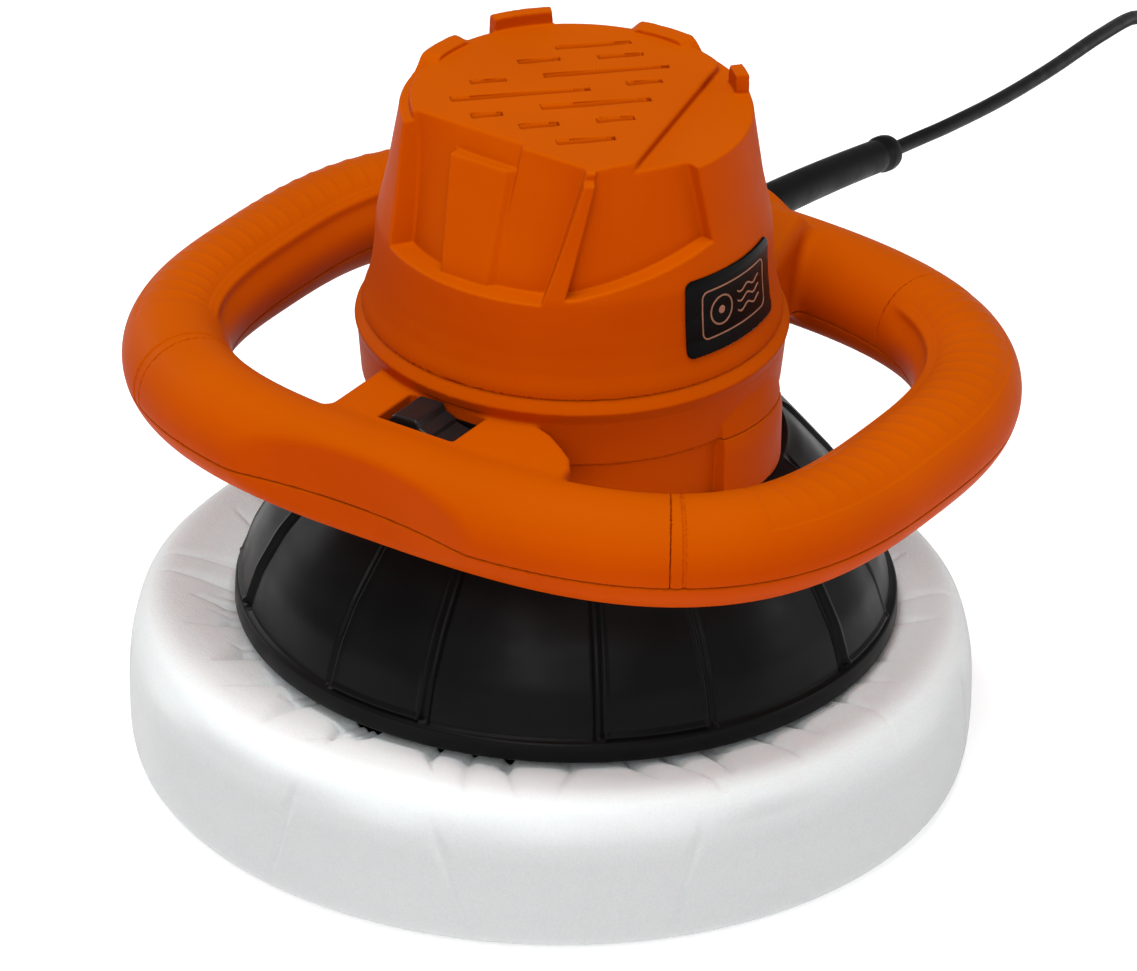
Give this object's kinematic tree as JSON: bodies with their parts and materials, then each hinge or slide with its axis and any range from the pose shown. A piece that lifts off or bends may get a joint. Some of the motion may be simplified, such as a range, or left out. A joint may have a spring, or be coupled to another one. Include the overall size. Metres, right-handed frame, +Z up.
{
  "type": "polisher",
  "caption": "Hand-held car polisher with a loop handle round the motor barrel, rocker switch, bell-shaped skirt, cloth-covered pad on an off-centre axis and a mains cord.",
  "frame": {"origin": "centre of the polishing face under the motor axis, on the plane the bonnet rests on", "axes": "+Z up along the motor axis, -Y towards the switch, +Y along the cord's exit, +X to the right hand of an operator facing the switch"},
  "size_m": [0.271, 0.6679, 0.23],
  "materials": {
    "moulded_orange": "satin moulded",
    "moulded_black": "satin moulded",
    "black_rubber": "matte",
    "white_cloth": "woven",
    "grey_foam": "open cell",
    "steel": "machined",
    "laminated_iron": "stamped",
    "copper": "wound",
    "cast_alloy": "die cast",
    "brass": "stamped",
    "carbon": "pressed"
  },
  "bodies": {
    "housing": {"top_cover": "moulded_orange", "upper_housing": "moulded_orange", "lower_housing": "moulded_orange", "grip_cover_left": "moulded_orange", "grip_cover_right": "moulded_orange", "shroud": "moulded_black", "nameplate": "moulded_black", "switch_body": "moulded_black", "cord_guard": "black_rubber", "cord_clamp": "moulded_black", "lower_bearing_plate": "cast_alloy", "lower_bearing": "steel", "upper_bearing_plate": "cast_alloy", "upper_bearing": "steel", "stator_core": "laminated_iron", "field_coil_front": "copper", "field_coil_rear": "copper", "motor_bolt_left": "steel", "motor_bolt_right": "steel", "brush_holder_front": "brass", "brush_holder_rear": "brass", "brush_front": "carbon", "brush_rear": "carbon", "brush_spring_front": "steel", "brush_spring_rear": "steel", "handle_screw_1": "steel", "handle_screw_2": "steel", "handle_screw_3": "steel", "handle_screw_4": "steel", "shroud_screw_1": "steel", "shroud_screw_2": "steel", "shroud_screw_3": "steel", "shroud_screw_4": "steel", "power_cord": "black_rubber", "cord_coil": "black_rubber", "cord_tail": "black_rubber", "cord_tie": "moulded_black", "plug_body": "black_rubber", "plug_pin_left": "brass", "plug_pin_right": "brass"},
    "rotor": {"armature_shaft": "steel", "armature_core": "laminated_iron", "winding_upper": "copper", "winding_lower": "copper", "commutator": "copper", "cooling_fan": "moulded_black", "counterweight": "laminated_iron", "pad_bearing": "steel"},
    "pad": {"pad_spindle": "steel", "pad_bolt": "steel", "backing_plate": "moulded_black", "foam_pad": "grey_foam", "bonnet": "white_cloth", "bonnet_elastic": "white_cloth"},
    "rocker": {"switch_rocker": "moulded_black"}
  },
  "joints": [
    {"name": "rotor_spin", "type": "hinge", "parent": "housing", "child": "rotor", "pos_m": [0, 0, 0.15], "axis": [0, 0, 1], "continuous": true},
    {"name": "pad_spin", "type": "hinge", "parent": "rotor", "child": "pad", "pos_m": [-0.00369, -0.0024, 0.0655], "axis": [0, 0, 1], "continuous": true},
    {"name": "rocker_tilt", "type": "hinge", "parent": "housing", "child": "rocker", "pos_m": [-0.0015, -0.0745, 0.1405], "axis": [0, -1, 0], "range_deg": [0, 22]}
  ]
}
